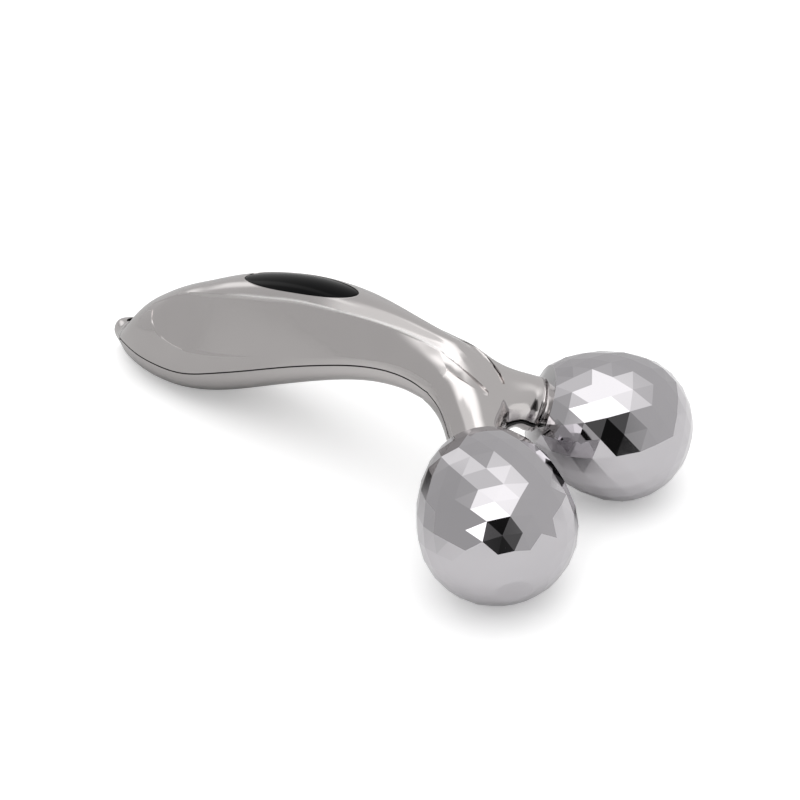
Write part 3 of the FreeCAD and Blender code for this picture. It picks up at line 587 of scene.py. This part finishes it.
def ringSheet(name, loops, closeCentre):
    count = window["points"]
    verts, faces = [], []
    for grow, rise in loops:
        for k in range(count):
            turn = 2 * math.pi * k / count
            verts.append(onSpine((window["length"] / 2 * grow[0] + grow[1]) * math.cos(turn),
                                 (window["width"] / 2 * grow[0] + grow[1]) * math.sin(turn), rise))
    for n in range(len(loops) - 1):
        for k in range(count):
            j = (k + 1) % count
            faces.append((n * count + k, n * count + j, (n + 1) * count + j, (n + 1) * count + k))
    if closeCentre:
        verts.append(onSpine(0, 0, loops[-1][1]))
        last = (len(loops) - 1) * count
        faces += [(last + k, last + (k + 1) % count, len(verts) - 1) for k in range(count)]
    return newObject(name, verts, faces)


# Each loop: share of the oval and what is added to its half axes, then the rise over the spine.
drop, inset, roundInset = window["edgeDrop"], window["lensInset"], window["roundInset"]
lensLoops = [((1.0, -inset), -drop - window["thickness"]), ((1.0, -inset), -drop)]
lensLoops.append(((1.0, -roundInset), -drop + window["roundRise"]))
for share in window["lensRingShares"]:
    rise = -drop + window["roundRise"] + window["dome"] * (1 - share ** 2)
    lensLoops.append(((share, -roundInset * share), rise))
lens = ringSheet("window_lens", lensLoops, True)
finishShape(lens, window["lensSharp"])
rimRows = [
    (-window["rimOverlap"], -window["rimDrop"] - window["rimFoot"]),
    (-window["rimOverlap"], -window["rimDrop"]),
    (window["rimTopFrom"], window["rimRise"]),
    (window["rim"] * window["rimTopShare"], window["rimRise"]),
    (window["rim"], -window["rimOverlap"]),
    (window["rim"], -window["rimFlank"]),
]
rim = ringSheet("window_rim", [((1.0, added), rise) for added, rise in rimRows], False)
finishShape(rim, window["rimSharp"])

outline = oval(window["length"] + window["cutRoom"], window["width"] + window["cutRoom"], window["points"])
reach = window["cutReach"] * mm
windowCutter = prism("window_cutter", [(x * mm, y * mm) for x, y in outline], windowFrame, -reach, reach)
thicken(upperSkin, handle["wall"])
cutWith(upperSkin, windowCutter)
thicken(lowerSkin, handle["wall"])

# Slots that end the creases at the fork: upper edge, lower edge, depth, in millimetres as for the handle
slot = {
    "rows": [
        ((-46.0, 4.3, 58.4), (-44.8, 5.6, 57.6), 0.0), ((-42.9, 4.4, 57.4), (-39.8, 8.4, 54.4), 0.05),
        ((-40.0, 4.4, 56.4), (-36.1, 8.0, 53.1), 0.3), ((-36.2, 4.0, 54.4), (-32.6, 7.3, 51.8), 0.6),
        ((-32.4, 3.3, 51.9), (-29.2, 6.4, 50.0), 0.8), ((-29.2, 2.8, 49.5), (-27.1, 5.4, 48.6), 0.8),
        ((-27.3, 2.9, 48.4), (-26.1, 4.5, 48.0), 0.5),
    ],
    # how far the cutter stands out of the skin, and the share by which its floor is narrower at each side
    "clear": 0.8,
    "floorShare": 0.12,
    # a narrow groove that sharpens the lower edge
    "groove": 0.5,
    "grooveDepth": 0.35,
}


def slotCutter(rows, tree, sign):
    verts, faces = [], []
    for upper, lower, depth in rows:
        ends = []
        for x, y, z in (upper, lower):
            ends.append(tree.find_nearest(Vector((x + handle["ballX"], sign * y, z)) * mm)[:2])
        (a, outA), (b, outB) = ends
        share = slot["floorShare"]
        verts += [a + outA * slot["clear"] * mm, b + outB * slot["clear"] * mm]
        verts += [b.lerp(a, share) - outB * depth * mm, a.lerp(b, share) - outA * depth * mm]
    last = len(verts) - 4
    faces = [(3, 2, 1, 0), (last, last + 1, last + 2, last + 3)]
    for n in range(0, last, 4):
        faces += [(n + k, n + (k + 1) % 4, n + 4 + (k + 1) % 4, n + 4 + k) for k in range(4)]
    made = newObject("slot_cutter", verts, faces)
    mend(made.data)
    return made


grooveRows = []
for upper, lower, depth in slot["rows"][1:]:
    upper, lower = Vector(upper), Vector(lower)
    beside = lower + (upper - lower).normalized() * slot["groove"]
    grooveRows.append((beside, lower, depth + slot["grooveDepth"]))
for sign in (1, -1):
    cutWith(upperSkin, slotCutter(slot["rows"], skinTree, sign))
    cutWith(upperSkin, slotCutter(grooveRows, skinTree, sign))
finishShape(upperSkin, handle["sharpAngle"])


# The band beside the crease that takes the painted highlight, faded in from its start.
def markCrease(mesh):
    low, high, fade = handle["creaseHighlight"]
    places = np.arange(low, high, handle["creaseHighlightStep"])
    tree = KDTree(2 * len(places))
    for n, x in enumerate(places):
        section = handleSection(float(x))
        spot = sectionPoint(section, creaseRow, True)
        for k, sign in enumerate((1, -1)):
            tree.insert((placeOn(section, spot, sign) + Vector((handle["ballX"], 0, 0))) * mm, 2 * n + k)
    tree.balance()
    mark = mesh.attributes.new("creaseHighlight", "FLOAT", "POINT")
    for vert in mesh.vertices:
        spot, index, gap = tree.find(vert.co)
        near = 1 - gap / (handle["creaseHighlightReach"] * mm)
        if near > 0:
            mark.data[vert.index].value = near * smoothStep(low, low + fade, places[index // 2])


markCrease(upperSkin.data)

# Sunk screw holes under the handle and the lanyard hole in the nub, in millimetres from the origin
sinks = {
    "screwRadius": 2.85,
    "lanyardRadius": 1.7,
    "lanyardX": -109.5,
    "lanyardFrom": -20.0,
    "lanyardTo": 50.0,
    "bossWall": 0.9,
    # points of one screw lie closer together along x than this, and half of it reaches round a screw
    "screwApart": 12.0,
    # how far a sink is cut below and above the screw's head
    "cutBelow": 30.0,
    "cutAbove": 3.0,
    # a boss starts inside the skin, looked for this share out from its points, and ends above the head
    "bossBesideShare": 1.12,
    "bossUnder": 0.6,
    "bossOver": 1.8,
    # from how far below the floor the skin is looked for
    "below": 100.0,
    # edges that bend by more than this stay sharp
    "sharpAngle": 40,
    "points": 48,
}


def circle(radius, count):
    turns = [2 * math.pi * k / count for k in range(count)]
    return [(radius * mm * math.cos(turn), radius * mm * math.sin(turn)) for turn in turns]


screwVerts = np.array([v.co for v in nodes["case_screws"].data.vertices])
screwPlaces = []
for x in sorted({round(float(v[0]), 2) for v in screwVerts}):
    if not screwPlaces or x - screwPlaces[-1][-1] > sinks["screwApart"] * mm:
        screwPlaces.append([x])
    else:
        screwPlaces[-1].append(x)
bossPlaces = []
for number, group in enumerate(screwPlaces, start=1):
    beside = sinks["screwApart"] / 2 * mm
    near = screwVerts[(screwVerts[:, 0] > min(group) - beside) & (screwVerts[:, 0] < max(group) + beside)]
    x = float(near[:, 0].min() + near[:, 0].max()) / 2
    seat = float(near[:, 2].min())
    place = Matrix.Translation((x, 0, seat))
    hole = circle(sinks["screwRadius"], sinks["points"])
    cutWith(lowerSkin, prism("sink_cutter", hole, place, -sinks["cutBelow"] * mm, sinks["cutAbove"] * mm))
    bossPlaces.append((number, x, seat))
finishShape(lowerSkin, sinks["sharpAngle"])
lowerTree = skinTreeOf(lowerSkin)
bosses = []
for number, x, seat in bossPlaces:
    inner, outer = sinks["screwRadius"], sinks["screwRadius"] + sinks["bossWall"]
    count, wide = sinks["points"], sinks["bossBesideShare"]
    verts, faces = [], []
    for radius in (inner, outer):
        for px, py in circle(radius, count):
            start = Vector((x + px * wide, py * wide, -sinks["below"] * mm))
            hit = lowerTree.ray_cast(start, Vector((0, 0, 1)))[0]
            verts.append((x + px, py, (hit.z if hit else seat) + sinks["bossUnder"] * mm))
    for radius in (inner, outer):
        verts += [(x + px, py, seat + sinks["bossOver"] * mm) for px, py in circle(radius, count)]
    for k in range(count):
        j = (k + 1) % count
        faces += [(k, j, 2 * count + j, 2 * count + k), (count + j, count + k, 3 * count + k, 3 * count + j),
                  (2 * count + k, 2 * count + j, 3 * count + j, 3 * count + k), (j, k, count + k, count + j)]
    boss = newObject("screw_boss_%d" % number, verts, faces)
    finishShape(boss, sinks["sharpAngle"])
    bosses.append(boss)

mend(nubSkin.data, fillHoles=True)
place = Matrix.Translation((sinks["lanyardX"] * mm, 0, 0))
hole = circle(sinks["lanyardRadius"], sinks["points"])
cutWith(nubSkin, prism("lanyard_cutter", hole, place, sinks["lanyardFrom"] * mm, sinks["lanyardTo"] * mm))
finishShape(nubSkin, sinks["sharpAngle"])
print("window, sinks and nub done")


# Materials

def newMaterial(name):
    made = bpy.data.materials.new(name)
    made.use_nodes = True
    tree = made.node_tree
    tree.nodes.clear()
    shader = addNode(tree, "ShaderNodeBsdfPrincipled")
    addNode(tree, "ShaderNodeOutputMaterial", links={"Surface": shader.outputs[0]})
    return made, tree, shader


# the height of the bumps is in millimetres, and the tone shifts are this many times as broad as the grain
grainNoise = {"detail": 3.0, "falloff": 0.55, "bumpHeight": 0.1, "toneTimes": 12, "toneDetail": 2.0}


def fineGrain(tree, shader, roughness, grain, bump):
    # Noise with cells of the grain's millimetres breaks the gloss a little, as handling and moulding do.
    # The real grain is finer, and it is drawn this coarse so that it shows.
    place = addNode(tree, "ShaderNodeTexCoord")
    cells = {"Scale": 1 / (grain * mm), "Detail": grainNoise["detail"], "Roughness": grainNoise["falloff"]}
    noise = addNode(tree, "ShaderNodeTexNoise", cells, {"Vector": place.outputs["Object"]})
    gloss = addNode(tree, "ShaderNodeMapRange", {"To Min": roughness[0], "To Max": roughness[1]},
                    {"Value": noise.outputs["Fac"]})
    tree.links.new(gloss.outputs[0], shader.inputs["Roughness"])
    if bump:
        bumps = {"Strength": bump, "Distance": grainNoise["bumpHeight"] * mm}
        relief = addNode(tree, "ShaderNodeBump", bumps, {"Height": noise.outputs["Fac"]})
        tree.links.new(relief.outputs[0], shader.inputs["Normal"])
    return place


# In every colour mix, inputs 6 and 7 and output 2 are the colours.

def metal(name, colours, roughness, grain, bump=0.0):
    made, tree, shader = newMaterial(name)
    place = fineGrain(tree, shader, roughness, grain, bump)
    tone = addNode(tree, "ShaderNodeTexNoise",
                   {"Scale": 1 / (grain * grainNoise["toneTimes"] * mm), "Detail": grainNoise["toneDetail"]},
                   {"Vector": place.outputs["Object"]})
    mix = addNode(tree, "ShaderNodeMix", {"data_type": "RGBA", 6: linear(colours[0]), 7: linear(colours[1])},
                  {0: tone.outputs["Fac"]})
    tree.links.new(mix.outputs[2], shader.inputs["Base Color"])
    shader.inputs["Metallic"].default_value = 1.0
    return made


def shaderOf(material):
    return next(n for n in material.node_tree.nodes if n.type == "BSDF_PRINCIPLED")


def dielectric(name, colours, roughness, grain, ior, bump=0.0, level=0.5):
    made = metal(name, colours, roughness, grain, bump)
    for key, value in (("Metallic", 0.0), ("IOR", ior), ("Specular IOR Level", level)):
        shaderOf(made).inputs[key].default_value = value
    return made


def paintCreaseHighlight(material, colour, roughness):
    # Painted highlight: along the crease the colour turns near white and the gloss duller, so it shows as a
    # thin light line.
    tree, shader = material.node_tree, shaderOf(material)
    share = addNode(tree, "ShaderNodeAttribute", {"attribute_name": "creaseHighlight"})
    for key, goal in (("Base Color", linear(colour)), ("Roughness", (roughness, roughness, roughness, 1.0))):
        plain = shader.inputs[key].links[0].from_socket
        mix = addNode(tree, "ShaderNodeMix", {"data_type": "RGBA", 7: goal},
                      {0: share.outputs["Fac"], 6: plain})
        tree.links.new(mix.outputs[2], shader.inputs[key])


# Chrome-plated ABS, moulded and polished: a clear mirror, a little warm, with faint broad tone shifts, and
# painted lighter than the balls' copy of the same plating so that its reflections show brighter: painted
# light.
handleChrome = metal("chrome_plated_abs_polished", ("#d2cecd", "#cdc9c8"), roughness=(0.10, 0.16), grain=1.11)
# The handle's crease carries a painted highlight.
paintCreaseHighlight(handleChrome, "#fbf9f8", roughness=0.6)
# The same plating on crisp moulded facets: colder, slightly lilac, and without the painted lightening of the
# handle's copy.
ballChrome = metal("chrome_plated_abs_faceted", ("#c6c3c6", "#c1bfc2"), roughness=(0.02, 0.06), grain=1.43)
# Bright chrome on a turned ring.
collarChrome = metal("chrome_plated_ring_turned", ("#c6c4c5", "#c0bfc0"), roughness=(0.03, 0.07), grain=0.833)
# Smoked acrylic with an anti-glare coat: near black with only a faint surface reflection.
smokedAcrylic = dielectric("smoked_acrylic_polished", ("#040405", "#080809"), roughness=(0.08, 0.14),
                           grain=1.25, ior=1.49, level=0.08)
# Silicone rubber, moulded: soft dark sheen.
siliconeBlack = dielectric("silicone_rubber_moulded", ("#17171a", "#202024"), roughness=(0.5, 0.65),
                           grain=0.667, ior=1.41, bump=0.2)
# Silicon cell under laminate: blue black and glossy.
cellSilicon = dielectric("silicon_cell_laminated", ("#0c1224", "#16203a"), roughness=(0.12, 0.25),
                         grain=2.5, ior=1.5)
# Glass-epoxy laminate with solder mask: satin green.
boardLaminate = dielectric("glass_epoxy_board_masked", ("#12462a", "#1a5a36"), roughness=(0.3, 0.45),
                           grain=0.5, ior=1.55, bump=0.2)
# Epoxy of a chip, moulded: flat black.
chipEpoxy = dielectric("epoxy_chip_moulded", ("#141414", "#1c1c1c"), roughness=(0.45, 0.6),
                       grain=0.333, ior=1.55, bump=0.3)
# Aluminium, drawn: pale with a fine grain.
drawnAluminium = metal("aluminium_drawn", ("#c9cacc", "#b9babd"), roughness=(0.22, 0.36), grain=0.4, bump=0.2)
# Zinc alloy, die cast: dull grey.
castZinc = metal("zinc_alloy_die_cast", ("#a3a4a8", "#919297"), roughness=(0.35, 0.5), grain=0.556, bump=0.4)
# Steel, ground: mid grey with a tight sheen.
groundSteel = metal("steel_ground", ("#b4b5b8", "#a2a3a7"), roughness=(0.18, 0.3), grain=0.333, bump=0.2)
# Acetal polymer, natural: milky white.
naturalAcetal = dielectric("acetal_natural_moulded", ("#e6e2d8", "#dcd8cd"), roughness=(0.35, 0.5),
                           grain=0.667, ior=1.48, bump=0.2)
# Soft vinyl of the leads: dark red.
vinylRed = dielectric("vinyl_sleeve_extruded", ("#7a1713", "#8c1d18"), roughness=(0.4, 0.55),
                      grain=0.4, ior=1.53, bump=0.2)
# A black satin sheet just inside the parting: painted shade that stands in for the shade deep in the seam.
seamShadeBlack = dielectric("seam_shade_black", ("#0c0c0c", "#131313"), roughness=(0.5, 0.65),
                     grain=0.667, ior=1.53, bump=0.2)
# Unplated ABS of the bosses inside: dark grey satin.
plainAbs = dielectric("abs_unplated_moulded", ("#4b4a49", "#575655"), roughness=(0.4, 0.55),
                      grain=0.667, ior=1.53, bump=0.2)


def dress(piece, material):
    piece.data.materials.clear()
    piece.data.materials.append(material)


def onHandle(piece, material, slotName, *stoodFor):
    dress(piece, material)
    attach(piece, "handle")
    if stoodFor:
        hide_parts(*stoodFor)


onHandle(upperSkin, handleChrome, "handle_chrome", "upper_cover")
onHandle(lowerSkin, handleChrome, "handle_chrome", "lower_cover")
onHandle(nubSkin, handleChrome, "handle_chrome", "tail_nub")
onHandle(lens, smokedAcrylic, "smoked_window", "solar_window")
onHandle(rim, handleChrome, "handle_chrome")
# The black sheet in the parting is painted shade.
onHandle(partingShadeSheet, seamShadeBlack, "handle_chrome")
for boss in bosses:
    onHandle(boss, plainAbs, "handle_chrome")

carried = {
    "window_gasket": siliconeBlack, "solar_cell": cellSilicon, "circuit_board": boardLaminate,
    "driver_chip": chipEpoxy, "storage_capacitor": drawnAluminium, "cell_leads": vinylRed,
    "yoke_lead": vinylRed, "board_screws": groundSteel, "case_screws": groundSteel, "axle_yoke": castZinc,
}
paired = {
    "axle": groundSteel, "inner_washer": naturalAcetal, "outer_washer": naturalAcetal,
    "retaining_clip": groundSteel, "ball_nose_shell": ballChrome, "ball_heel_shell": ballChrome,
    "collar_ring": collarChrome, "bearing_sleeve": drawnAluminium, "inner_bush": naturalAcetal,
    "outer_bush": naturalAcetal,
}
# the facets meet at more than this angle, so each stays flat
facetAngle = 3.0
for name, material in carried.items():
    dress(nodes[name], material)
for side in ("left_", "right_"):
    for name, material in paired.items():
        dress(nodes[side + name], material)
    for name in ("ball_nose_shell", "ball_heel_shell"):
        facets = nodes[side + name].modifiers.new("facets", "EDGE_SPLIT")
        facets.split_angle = math.radians(facetAngle)
print("materials done")

# Camera: angles in degrees, distances in millimetres
camera = {
    "lens": 76.5,
    "sensor": 36.0,
    "azimuth": 40.345,
    "elevation": 32.833,
    "roll": -2.26,
    "distance": 561.297,
    "across": 53.117,
    "up": -45.435,
    "clip": (10.0, 50000.0),
}
turn, tilt, roll = (math.radians(camera[k]) for k in ("azimuth", "elevation", "roll"))
back = Vector((math.sin(turn) * math.cos(tilt), -math.cos(turn) * math.cos(tilt), math.sin(tilt)))
plainRight = Vector((math.cos(turn), math.sin(turn), 0))
plainUp = back.cross(plainRight)
right = plainRight * math.cos(roll) + plainUp * math.sin(roll)
up = plainUp * math.cos(roll) - plainRight * math.sin(roll)
spot = back * camera["distance"] - right * camera["across"] - up * camera["up"]
spot = (spot + Vector((handle["ballX"], 0, 0))) * mm
cameraData = bpy.data.cameras.new("camera")
cameraData.lens = camera["lens"]
cameraData.sensor_width = camera["sensor"]
cameraData.clip_start, cameraData.clip_end = (reach * mm for reach in camera["clip"])
cameraObject = bpy.data.objects.new("camera", cameraData)
scene.collection.objects.link(cameraObject)
cameraObject.matrix_world = Matrix.Translation(spot) @ Matrix((right, up, back)).transposed().to_4x4()
scene.camera = cameraObject

# Stage: pale floor, one soft light overhead, and the walls of a small studio as the world.
# Lengths are metres, directions are degrees of azimuth from +X and of elevation, radiance 1 is white.
stage = {
    "white": "#ffffff",
    "floorSize": 6.0,
    "floorColour": "#f6f6f6",
    "floorRoughness": (0.8, 0.95),
    "floorGrain": 16.7,  # millimetres
    # painted shade: what other rays than the camera's see of the floor turns to this darker colour from front
    # to back, along x
    "floorShadeFar": "#c4c4c4",
    "floorShadeFront": 0.07,
    "floorShadeBack": -0.06,
    # the floor's own glow, which only the camera sees
    "floorLift": 0.28,
    "lightHeight": 1.5,
    "lightRadius": 0.75,
    "lightEnergy": 3.0,
    # the walls run from the first radiance to the second, which lies at this azimuth
    "wallNear": 0.54,
    "wallFar": 0.66,
    "wallTurn": 60.0,
    # radiance overhead, and the elevations between which the walls turn to it
    "upperWall": 1.7,
    "upperFrom": 46.0,
    "upperTo": 70.0,
    # azimuth range, elevation range, softness, radiance
    "cards": {
        "softbox_back_left": ((-186, -140), (54, 79), 4.0, 0.95),
        "softbox_back_right": ((140, 186), (54, 79), 4.0, 0.95),
        "strip_light": ((160, 170), (9, 57), 2.5, 1.2),
        "window_left": ((-89, -66), (20, 62), 3.0, 2.4),
        "window_high": ((-92, -32), (48, 66), 3.0, 2.2),
        "dark_screen": ((-65, -27), (-4, 43), 3.0, 0.12),
        "dark_core": ((-57, -41), (-4, 41), 3.0, 0.01),
    },
}
half = stage["floorSize"] / 2
corners = [(-half, -half, 0), (half, -half, 0), (half, half, 0), (-half, half, 0)]
floor = newObject("floor", corners, [(0, 1, 2, 3)])
# Paper, matt: no gloss, so that it only takes the shadow.
floorMaterial, tree, shader = newMaterial("matt_paper_floor")
shader.inputs["Specular IOR Level"].default_value = 0.0
fineGrain(tree, shader, stage["floorRoughness"], stage["floorGrain"], 0.0)
place = addNode(tree, "ShaderNodeTexCoord")
along = addNode(tree, "ShaderNodeSeparateXYZ", links={"Vector": place.outputs["Object"]})
fade = addNode(tree, "ShaderNodeMapRange", {"From Min": stage["floorShadeFront"], "From Max": stage["floorShadeBack"]},
               {"Value": along.outputs["X"]})
seen = addNode(tree, "ShaderNodeLightPath")
mirrored = addNode(tree, "ShaderNodeMath", {"operation": "SUBTRACT", "use_clamp": True},
                   {0: fade.outputs[0], 1: seen.outputs["Is Camera Ray"]})
# Painted shade: for all rays but the camera's, the floor greys towards the back, where it stands for floor
# lying in shade.
floorColours = {6: linear(stage["floorColour"]), 7: linear(stage["floorShadeFar"])}
floorShadeMix = addNode(tree, "ShaderNodeMix", {"data_type": "RGBA", **floorColours}, {0: mirrored.outputs[0]})
tree.links.new(floorShadeMix.outputs[2], shader.inputs["Base Color"])
lift = addNode(tree, "ShaderNodeMath", {"operation": "MULTIPLY", 1: stage["floorLift"]},
               {0: seen.outputs["Is Camera Ray"]})
shader.inputs["Emission Color"].default_value = linear(stage["white"])
tree.links.new(lift.outputs[0], shader.inputs["Emission Strength"])
dress(floor, floorMaterial)

keyData = bpy.data.lights.new("overhead_softbox", "AREA")
keyData.shape = "DISK"
keyData.size = 2 * stage["lightRadius"]
keyData.energy = stage["lightEnergy"]
keyLight = bpy.data.objects.new("overhead_softbox", keyData)
scene.collection.objects.link(keyLight)
keyLight.location = (0, 0, stage["lightHeight"])
keyLight.visible_glossy = False

world = bpy.data.worlds.new("studio")
scene.world = world
world.use_nodes = True
tree = world.node_tree
tree.nodes.clear()
softened = {"interpolation_type": "SMOOTHSTEP"}
direction = addNode(tree, "ShaderNodeTexCoord")
split = addNode(tree, "ShaderNodeSeparateXYZ", links={"Vector": direction.outputs["Generated"]})
flatTurn = addNode(tree, "ShaderNodeMath", {"operation": "ARCTAN2"},
                   {0: split.outputs["Y"], 1: split.outputs["X"]})
rise = addNode(tree, "ShaderNodeMath", {"operation": "ARCSINE"}, {0: split.outputs["Z"]})
inDegrees = {"operation": "MULTIPLY", 1: math.degrees(1)}
azimuth = addNode(tree, "ShaderNodeMath", inDegrees, {0: flatTurn.outputs[0]})
elevation = addNode(tree, "ShaderNodeMath", inDegrees, {0: rise.outputs[0]})

facing = addNode(tree, "ShaderNodeMath", {"operation": "SUBTRACT", 1: stage["wallTurn"]},
                 {0: azimuth.outputs[0]})
for step in ("RADIANS", "COSINE"):
    facing = addNode(tree, "ShaderNodeMath", {"operation": step}, {0: facing.outputs[0]})
wallRange = {"From Min": -1.0, "From Max": 1.0, "To Min": stage["wallNear"], "To Max": stage["wallFar"]}
level = addNode(tree, "ShaderNodeMapRange", {**softened, **wallRange}, {"Value": facing.outputs[0]})
upperRange = {"From Min": stage["upperFrom"], "From Max": stage["upperTo"]}
upper = addNode(tree, "ShaderNodeMapRange", {**softened, **upperRange}, {"Value": elevation.outputs[0]})
# In every mix of radiances, inputs 2 and 3 are the two radiances.
level = addNode(tree, "ShaderNodeMix", {"data_type": "FLOAT", 3: stage["upperWall"]},
                {0: upper.outputs[0], 2: level.outputs[0]})
for azimuths, elevations, soft, radiance in stage["cards"].values():
    sides = []
    for angle, (low, high) in ((azimuth, azimuths), (elevation, elevations)):
        edges = []
        for start, end in ((low - soft, low + soft), (high + soft, high - soft)):
            edge = addNode(tree, "ShaderNodeMapRange", {**softened, "From Min": start, "From Max": end},
                           {"Value": angle.outputs[0]})
            edges.append(edge.outputs[0])
        side = addNode(tree, "ShaderNodeMath", {"operation": "MULTIPLY"}, dict(enumerate(edges)))
        sides.append(side.outputs[0])
    share = addNode(tree, "ShaderNodeMath", {"operation": "MULTIPLY"}, dict(enumerate(sides)))
    level = addNode(tree, "ShaderNodeMix", {"data_type": "FLOAT", 3: radiance},
                    {0: share.outputs[0], 2: level.outputs[0]})
walls = addNode(tree, "ShaderNodeBackground", {"Color": linear(stage["white"])},
                {"Strength": level.outputs[0]})
white = addNode(tree, "ShaderNodeBackground", {"Strength": 1.0, "Color": linear(stage["white"])})
path = addNode(tree, "ShaderNodeLightPath")
choose = addNode(tree, "ShaderNodeMixShader",
                 links={0: path.outputs["Is Camera Ray"], 1: walls.outputs[0], 2: white.outputs[0]})
addNode(tree, "ShaderNodeOutputWorld", links={"Surface": choose.outputs[0]})
scene.view_settings.view_transform = "Standard"
print("stage done")
